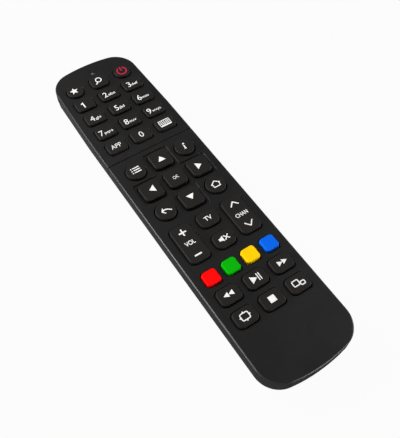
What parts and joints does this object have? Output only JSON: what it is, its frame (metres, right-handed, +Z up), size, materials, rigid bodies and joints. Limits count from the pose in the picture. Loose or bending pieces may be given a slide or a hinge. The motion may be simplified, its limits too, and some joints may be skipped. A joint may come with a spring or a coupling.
{
  "type": "television box remote control",
  "caption": "Slim handheld remote control: dark moulded case with rounded ends, soft number, arrow, volume, channel, colour and playback keys, and a slide-off battery cover.",
  "frame": {"origin": "under the middle of the case, on the surface that it rests on", "axes": "+X across the case, +Y along it towards the infrared end, +Z up through the keys"},
  "size_m": [0.0462, 0.194, 0.019],
  "materials": {
    "case_plastic": "dark grey, fine moulded grain",
    "key_silicone": "dark grey, soft satin",
    "red_silicone": "saturated red, soft satin",
    "green_silicone": "saturated green, soft satin",
    "yellow_silicone": "saturated yellow, soft satin",
    "blue_silicone": "saturated blue, soft satin",
    "window_plastic": "black, passes infrared light",
    "light_pipe_plastic": "smoke grey, translucent",
    "keypad_silicone": "dark grey sheet",
    "board_laminate": "green solder mask",
    "chip_plastic": "black moulding compound",
    "bright_metal": "nickel plated strip",
    "capacitor_sleeve": "dark blue sleeve",
    "emitter_lens": "tinted clear lens",
    "status_led_body": "white package",
    "cell_jacket": "plain grey jacket"
  },
  "bodies": {
    "housing": {"front_case": "case_plastic", "rear_case": "case_plastic", "ir_window": "window_plastic", "status_light_pipe": "light_pipe_plastic", "keypad_mat": "keypad_silicone", "circuit_board": "board_laminate", "controller_chip": "chip_plastic", "resonator": "bright_metal", "buffer_capacitor": "capacitor_sleeve", "led_transistor": "chip_plastic", "chip_resistors": "chip_plastic", "ir_led": "emitter_lens", "status_led": "status_led_body", "contact_positive": "bright_metal", "contact_negative": "bright_metal", "contact_bridge": "bright_metal", "battery_left": "cell_jacket", "battery_right": "cell_jacket"},
    "battery_cover": {"battery_cover": "case_plastic"},
    "key_favourite": {"key_favourite": "key_silicone"},
    "key_search": {"key_search": "key_silicone"},
    "key_power": {"key_power": "key_silicone"},
    "key_1": {"key_1": "key_silicone"},
    "key_2": {"key_2": "key_silicone"},
    "key_3": {"key_3": "key_silicone"},
    "key_4": {"key_4": "key_silicone"},
    "key_5": {"key_5": "key_silicone"},
    "key_6": {"key_6": "key_silicone"},
    "key_7": {"key_7": "key_silicone"},
    "key_8": {"key_8": "key_silicone"},
    "key_9": {"key_9": "key_silicone"},
    "key_app": {"key_app": "key_silicone"},
    "key_0": {"key_0": "key_silicone"},
    "key_keyboard": {"key_keyboard": "key_silicone"},
    "key_menu": {"key_menu": "key_silicone"},
    "key_up": {"key_up": "key_silicone"},
    "key_info": {"key_info": "key_silicone"},
    "key_left": {"key_left": "key_silicone"},
    "key_ok": {"key_ok": "key_silicone"},
    "key_right": {"key_right": "key_silicone"},
    "key_back": {"key_back": "key_silicone"},
    "key_down": {"key_down": "key_silicone"},
    "key_home": {"key_home": "key_silicone"},
    "key_tv": {"key_tv": "key_silicone"},
    "key_mute": {"key_mute": "key_silicone"},
    "key_red": {"key_red": "red_silicone"},
    "key_green": {"key_green": "green_silicone"},
    "key_yellow": {"key_yellow": "yellow_silicone"},
    "key_blue": {"key_blue": "blue_silicone"},
    "key_rewind": {"key_rewind": "key_silicone"},
    "key_play": {"key_play": "key_silicone"},
    "key_forward": {"key_forward": "key_silicone"},
    "key_zoom": {"key_zoom": "key_silicone"},
    "key_stop": {"key_stop": "key_silicone"},
    "key_picture": {"key_picture": "key_silicone"},
    "volume_rocker": {"volume_rocker": "key_silicone"},
    "channel_rocker": {"channel_rocker": "key_silicone"}
  },
  "joints": [
    {"name": "battery_cover_slide", "type": "slide", "parent": "housing", "child": "battery_cover", "axis": [0, -1, 0], "range_m": [0, 0.06]},
    {"name": "key_favourite_press", "type": "slide", "parent": "housing", "child": "key_favourite", "axis": [0, 0, -1], "range_m": [0, 0.0008], "stiffness_N_per_m": 1500},
    {"name": "key_search_press", "type": "slide", "parent": "housing", "child": "key_search", "axis": [0, 0, -1], "range_m": [0, 0.0008], "stiffness_N_per_m": 1500},
    {"name": "key_power_press", "type": "slide", "parent": "housing", "child": "key_power", "axis": [0, 0, -1], "range_m": [0, 0.0008], "stiffness_N_per_m": 1500},
    {"name": "key_1_press", "type": "slide", "parent": "housing", "child": "key_1", "axis": [0, 0, -1], "range_m": [0, 0.0008], "stiffness_N_per_m": 1500},
    {"name": "key_2_press", "type": "slide", "parent": "housing", "child": "key_2", "axis": [0, 0, -1], "range_m": [0, 0.0008], "stiffness_N_per_m": 1500},
    {"name": "key_3_press", "type": "slide", "parent": "housing", "child": "key_3", "axis": [0, 0, -1], "range_m": [0, 0.0008], "stiffness_N_per_m": 1500},
    {"name": "key_4_press", "type": "slide", "parent": "housing", "child": "key_4", "axis": [0, 0, -1], "range_m": [0, 0.0008], "stiffness_N_per_m": 1500},
    {"name": "key_5_press", "type": "slide", "parent": "housing", "child": "key_5", "axis": [0, 0, -1], "range_m": [0, 0.0008], "stiffness_N_per_m": 1500},
    {"name": "key_6_press", "type": "slide", "parent": "housing", "child": "key_6", "axis": [0, 0, -1], "range_m": [0, 0.0008], "stiffness_N_per_m": 1500},
    {"name": "key_7_press", "type": "slide", "parent": "housing", "child": "key_7", "axis": [0, 0, -1], "range_m": [0, 0.0008], "stiffness_N_per_m": 1500},
    {"name": "key_8_press", "type": "slide", "parent": "housing", "child": "key_8", "axis": [0, 0, -1], "range_m": [0, 0.0008], "stiffness_N_per_m": 1500},
    {"name": "key_9_press", "type": "slide", "parent": "housing", "child": "key_9", "axis": [0, 0, -1], "range_m": [0, 0.0008], "stiffness_N_per_m": 1500},
    {"name": "key_app_press", "type": "slide", "parent": "housing", "child": "key_app", "axis": [0, 0, -1], "range_m": [0, 0.0008], "stiffness_N_per_m": 1500},
    {"name": "key_0_press", "type": "slide", "parent": "housing", "child": "key_0", "axis": [0, 0, -1], "range_m": [0, 0.0008], "stiffness_N_per_m": 1500},
    {"name": "key_keyboard_press", "type": "slide", "parent": "housing", "child": "key_keyboard", "axis": [0, 0, -1], "range_m": [0, 0.0008], "stiffness_N_per_m": 1500},
    {"name": "key_menu_press", "type": "slide", "parent": "housing", "child": "key_menu", "axis": [0, 0, -1], "range_m": [0, 0.0008], "stiffness_N_per_m": 1500},
    {"name": "key_up_press", "type": "slide", "parent": "housing", "child": "key_up", "axis": [0, 0, -1], "range_m": [0, 0.0008], "stiffness_N_per_m": 1500},
    {"name": "key_info_press", "type": "slide", "parent": "housing", "child": "key_info", "axis": [0, 0, -1], "range_m": [0, 0.0008], "stiffness_N_per_m": 1500},
    {"name": "key_left_press", "type": "slide", "parent": "housing", "child": "key_left", "axis": [0, 0, -1], "range_m": [0, 0.0008], "stiffness_N_per_m": 1500},
    {"name": "key_ok_press", "type": "slide", "parent": "housing", "child": "key_ok", "axis": [0, 0, -1], "range_m": [0, 0.0008], "stiffness_N_per_m": 1500},
    {"name": "key_right_press", "type": "slide", "parent": "housing", "child": "key_right", "axis": [0, 0, -1], "range_m": [0, 0.0008], "stiffness_N_per_m": 1500},
    {"name": "key_back_press", "type": "slide", "parent": "housing", "child": "key_back", "axis": [0, 0, -1], "range_m": [0, 0.0008], "stiffness_N_per_m": 1500},
    {"name": "key_down_press", "type": "slide", "parent": "housing", "child": "key_down", "axis": [0, 0, -1], "range_m": [0, 0.0008], "stiffness_N_per_m": 1500},
    {"name": "key_home_press", "type": "slide", "parent": "housing", "child": "key_home", "axis": [0, 0, -1], "range_m": [0, 0.0008], "stiffness_N_per_m": 1500},
    {"name": "key_tv_press", "type": "slide", "parent": "housing", "child": "key_tv", "axis": [0, 0, -1], "range_m": [0, 0.0008], "stiffness_N_per_m": 1500},
    {"name": "key_mute_press", "type": "slide", "parent": "housing", "child": "key_mute", "axis": [0, 0, -1], "range_m": [0, 0.0008], "stiffness_N_per_m": 1500},
    {"name": "key_red_press", "type": "slide", "parent": "housing", "child": "key_red", "axis": [0, 0, -1], "range_m": [0, 0.0008], "stiffness_N_per_m": 1500},
    {"name": "key_green_press", "type": "slide", "parent": "housing", "child": "key_green", "axis": [0, 0, -1], "range_m": [0, 0.0008], "stiffness_N_per_m": 1500},
    {"name": "key_yellow_press", "type": "slide", "parent": "housing", "child": "key_yellow", "axis": [0, 0, -1], "range_m": [0, 0.0008], "stiffness_N_per_m": 1500},
    {"name": "key_blue_press", "type": "slide", "parent": "housing", "child": "key_blue", "axis": [0, 0, -1], "range_m": [0, 0.0008], "stiffness_N_per_m": 1500},
    {"name": "key_rewind_press", "type": "slide", "parent": "housing", "child": "key_rewind", "axis": [0, 0, -1], "range_m": [0, 0.0008], "stiffness_N_per_m": 1500},
    {"name": "key_play_press", "type": "slide", "parent": "housing", "child": "key_play", "axis": [0, 0, -1], "range_m": [0, 0.0008], "stiffness_N_per_m": 1500},
    {"name": "key_forward_press", "type": "slide", "parent": "housing", "child": "key_forward", "axis": [0, 0, -1], "range_m": [0, 0.0008], "stiffness_N_per_m": 1500},
    {"name": "key_zoom_press", "type": "slide", "parent": "housing", "child": "key_zoom", "axis": [0, 0, -1], "range_m": [0, 0.0008], "stiffness_N_per_m": 1500},
    {"name": "key_stop_press", "type": "slide", "parent": "housing", "child": "key_stop", "axis": [0, 0, -1], "range_m": [0, 0.0008], "stiffness_N_per_m": 1500},
    {"name": "key_picture_press", "type": "slide", "parent": "housing", "child": "key_picture", "axis": [0, 0, -1], "range_m": [0, 0.0008], "stiffness_N_per_m": 1500},
    {"name": "volume_rocker_tilt", "type": "hinge", "parent": "housing", "child": "volume_rocker", "pos_m": [-0.0135, -0.0242, 0.0169], "axis": [1, 0, 0], "range_deg": [-4.5, 4.5], "stiffness_Nm_per_rad": 0.11},
    {"name": "channel_rocker_tilt", "type": "hinge", "parent": "housing", "child": "channel_rocker", "pos_m": [0.0135, -0.0242, 0.0169], "axis": [1, 0, 0], "range_deg": [-4.5, 4.5], "stiffness_Nm_per_rad": 0.11}
  ]
}
